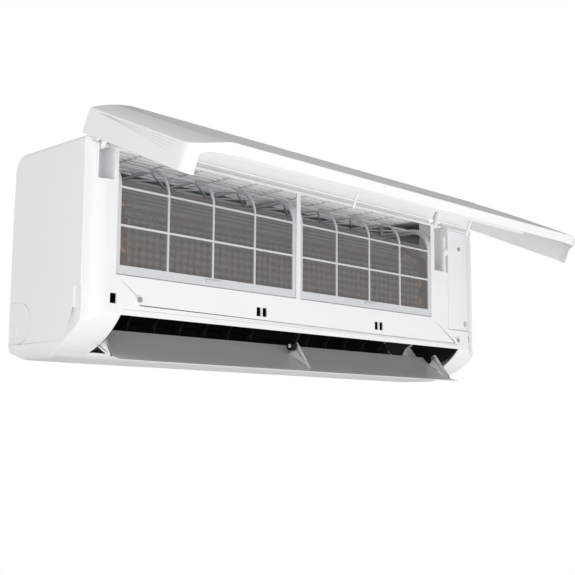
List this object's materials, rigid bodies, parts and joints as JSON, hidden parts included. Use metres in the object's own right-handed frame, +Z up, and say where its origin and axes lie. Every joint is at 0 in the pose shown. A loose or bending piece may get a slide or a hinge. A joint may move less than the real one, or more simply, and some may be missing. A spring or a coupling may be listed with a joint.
{
  "type": "split air conditioner indoor unit",
  "caption": "Wall-mounted split air-conditioner indoor unit with a swing-up front panel, slide-out air filters, cross-flow fan, tilting outlet louver and swing vanes.",
  "frame": {"origin": "centre of the wall plate's back face, on the wall", "axes": "+Z up, +Y into the wall, +X to the viewer's right along the wall; the front faces -Y"},
  "size_m": [0.856, 0.3947, 0.3232],
  "materials": {
    "casing_white": "satin moulded white plastic",
    "panel_white": "smooth glossy white plastic",
    "display_smoke": "smoked clear plastic",
    "filter_plastic": "pale grey-white plastic",
    "filter_net": "fine grey nylon net",
    "louver_grey": "pale grey satin plastic",
    "throat_black": "black moulded plastic",
    "link_grey": "dark grey plastic",
    "chassis_grey": "light grey moulded plastic",
    "fin_aluminium": "bare aluminium fins",
    "coil_plate": "galvanised sheet",
    "copper": "drawn copper tube",
    "brass": "machined brass",
    "fan_plastic": "black glass-filled plastic",
    "steel": "zinc-plated steel",
    "rubber": "black rubber",
    "stepper": "plated steel can",
    "box_white": "white flame-retardant plastic",
    "board_green": "green glass-epoxy board",
    "button_grey": "grey plastic",
    "lead_sheath": "black sleeving"
  },
  "bodies": {
    "unit": {"air_sensor": "button_grey", "circuit_board": "board_green", "coil_end_plates": "coil_plate", "coil_front": "fin_aluminium", "coil_rear": "fin_aluminium", "coil_tubes": "copper", "coil_upper": "fin_aluminium", "cover_screw": "steel", "drain_spigot": "chassis_grey", "drain_tray": "chassis_grey", "electrical_box": "box_white", "electrical_cover": "casing_white", "fan_bearing": "rubber", "fan_motor": "steel", "flare_unions": "brass", "frame_screws": "steel", "front_frame": "casing_white", "hinge_pockets": "casing_white", "louver_hanger": "throat_black", "louver_motor": "stepper", "louver_pivot_pin": "steel", "motor_clamp": "coil_plate", "motor_lead": "lead_sheath", "outlet_throat": "throat_black", "panel_stay_guide": "casing_white", "pipe_knockouts": "casing_white", "rear_chassis": "chassis_grey", "refrigerant_pipes": "copper", "terminal_block": "box_white", "top_grille": "casing_white", "vane_base_left": "throat_black", "vane_base_right": "throat_black", "vane_motor_left": "stepper", "vane_motor_right": "stepper", "wall_plate": "coil_plate"},
    "front_panel": {"front_panel": "panel_white", "panel_windows": "display_smoke", "panel_stiffener": "panel_white", "panel_hinge_arms": "panel_white"},
    "louver": {"louver": "louver_grey"},
    "fan": {"fan_wheel": "fan_plastic", "motor_shaft": "steel"},
    "filter_left": {"filter_frame_left": "filter_plastic", "filter_mesh_left": "filter_net"},
    "filter_right": {"filter_frame_right": "filter_plastic", "filter_mesh_right": "filter_net"},
    "push_button": {"push_button": "button_grey"},
    "vane_left_1": {"vane_left_1": "throat_black"},
    "vane_left_2": {"vane_left_2": "throat_black"},
    "vane_left_3": {"vane_left_3": "throat_black"},
    "vane_left_4": {"vane_left_4": "throat_black"},
    "vane_left_5": {"vane_left_5": "throat_black"},
    "vane_left_6": {"vane_left_6": "throat_black"},
    "vane_link_left": {"vane_link_left": "link_grey"},
    "vane_right_1": {"vane_right_1": "throat_black"},
    "vane_right_2": {"vane_right_2": "throat_black"},
    "vane_right_3": {"vane_right_3": "throat_black"},
    "vane_right_4": {"vane_right_4": "throat_black"},
    "vane_right_5": {"vane_right_5": "throat_black"},
    "vane_link_right": {"vane_link_right": "link_grey"}
  },
  "joints": [
    {"name": "panel_hinge", "type": "hinge", "parent": "unit", "child": "front_panel", "pos_m": [0, -0.1585, 0.119], "axis": [1, 0, 0], "range_deg": [0, 66.5]},
    {"name": "louver_hinge", "type": "hinge", "parent": "unit", "child": "louver", "pos_m": [0, -0.123, -0.115], "axis": [1, 0, 0], "range_deg": [-60.5, 0]},
    {"name": "fan_spin", "type": "hinge", "parent": "unit", "child": "fan", "pos_m": [0, -0.092, -0.022], "axis": [1, 0, 0], "continuous": true},
    {"name": "filter_left_slide", "type": "slide", "parent": "unit", "child": "filter_left", "axis": [0, 1, 0], "range_m": [-0.1, 0]},
    {"name": "filter_right_slide", "type": "slide", "parent": "unit", "child": "filter_right", "axis": [0, 1, 0], "range_m": [-0.1, 0]},
    {"name": "button_press", "type": "slide", "parent": "unit", "child": "push_button", "axis": [0, 1, 0], "range_m": [0, 0.002], "stiffness_N_per_m": 300},
    {"name": "vane_left_1_turn", "type": "hinge", "parent": "unit", "child": "vane_left_1", "pos_m": [-0.297, -0.082, -0.105], "axis": [0, -0.7694, 0.6388], "range_deg": [-25.5, 25.5]},
    {"name": "vane_left_2_turn", "type": "hinge", "parent": "unit", "child": "vane_left_2", "pos_m": [-0.25, -0.082, -0.105], "axis": [0, -0.7694, 0.6388], "range_deg": [-25.5, 25.5]},
    {"name": "vane_left_3_turn", "type": "hinge", "parent": "unit", "child": "vane_left_3", "pos_m": [-0.203, -0.082, -0.105], "axis": [0, -0.7694, 0.6388], "range_deg": [-25.5, 25.5]},
    {"name": "vane_left_4_turn", "type": "hinge", "parent": "unit", "child": "vane_left_4", "pos_m": [-0.156, -0.082, -0.105], "axis": [0, -0.7694, 0.6388], "range_deg": [-25.5, 25.5]},
    {"name": "vane_left_5_turn", "type": "hinge", "parent": "unit", "child": "vane_left_5", "pos_m": [-0.109, -0.082, -0.105], "axis": [0, -0.7694, 0.6388], "range_deg": [-25.5, 25.5]},
    {"name": "vane_left_6_turn", "type": "hinge", "parent": "unit", "child": "vane_left_6", "pos_m": [-0.062, -0.082, -0.105], "axis": [0, -0.7694, 0.6388], "range_deg": [-25.5, 25.5]},
    {"name": "vane_link_left_shift", "type": "slide", "parent": "unit", "child": "vane_link_left", "axis": [1, 0, 0], "range_m": [-0.0093, 0.0093]},
    {"name": "vane_right_1_turn", "type": "hinge", "parent": "unit", "child": "vane_right_1", "pos_m": [0.065, -0.082, -0.105], "axis": [0, -0.7694, 0.6388], "range_deg": [-25.5, 25.5]},
    {"name": "vane_right_2_turn", "type": "hinge", "parent": "unit", "child": "vane_right_2", "pos_m": [0.112, -0.082, -0.105], "axis": [0, -0.7694, 0.6388], "range_deg": [-25.5, 25.5]},
    {"name": "vane_right_3_turn", "type": "hinge", "parent": "unit", "child": "vane_right_3", "pos_m": [0.159, -0.082, -0.105], "axis": [0, -0.7694, 0.6388], "range_deg": [-25.5, 25.5]},
    {"name": "vane_right_4_turn", "type": "hinge", "parent": "unit", "child": "vane_right_4", "pos_m": [0.206, -0.082, -0.105], "axis": [0, -0.7694, 0.6388], "range_deg": [-25.5, 25.5]},
    {"name": "vane_right_5_turn", "type": "hinge", "parent": "unit", "child": "vane_right_5", "pos_m": [0.253, -0.082, -0.105], "axis": [0, -0.7694, 0.6388], "range_deg": [-25.5, 25.5]},
    {"name": "vane_link_right_shift", "type": "slide", "parent": "unit", "child": "vane_link_right", "axis": [1, 0, 0], "range_m": [-0.0093, 0.0093]}
  ],
  "couplings": [
    {"joint": "vane_left_1_turn", "follows": "vane_link_left_shift", "rad_per_m": 46.93},
    {"joint": "vane_left_2_turn", "follows": "vane_link_left_shift", "rad_per_m": 46.93},
    {"joint": "vane_left_3_turn", "follows": "vane_link_left_shift", "rad_per_m": 46.93},
    {"joint": "vane_left_4_turn", "follows": "vane_link_left_shift", "rad_per_m": 46.93},
    {"joint": "vane_left_5_turn", "follows": "vane_link_left_shift", "rad_per_m": 46.93},
    {"joint": "vane_left_6_turn", "follows": "vane_link_left_shift", "rad_per_m": 46.93},
    {"joint": "vane_right_1_turn", "follows": "vane_link_right_shift", "rad_per_m": 46.93},
    {"joint": "vane_right_2_turn", "follows": "vane_link_right_shift", "rad_per_m": 46.93},
    {"joint": "vane_right_3_turn", "follows": "vane_link_right_shift", "rad_per_m": 46.93},
    {"joint": "vane_right_4_turn", "follows": "vane_link_right_shift", "rad_per_m": 46.93},
    {"joint": "vane_right_5_turn", "follows": "vane_link_right_shift", "rad_per_m": 46.93}
  ]
}
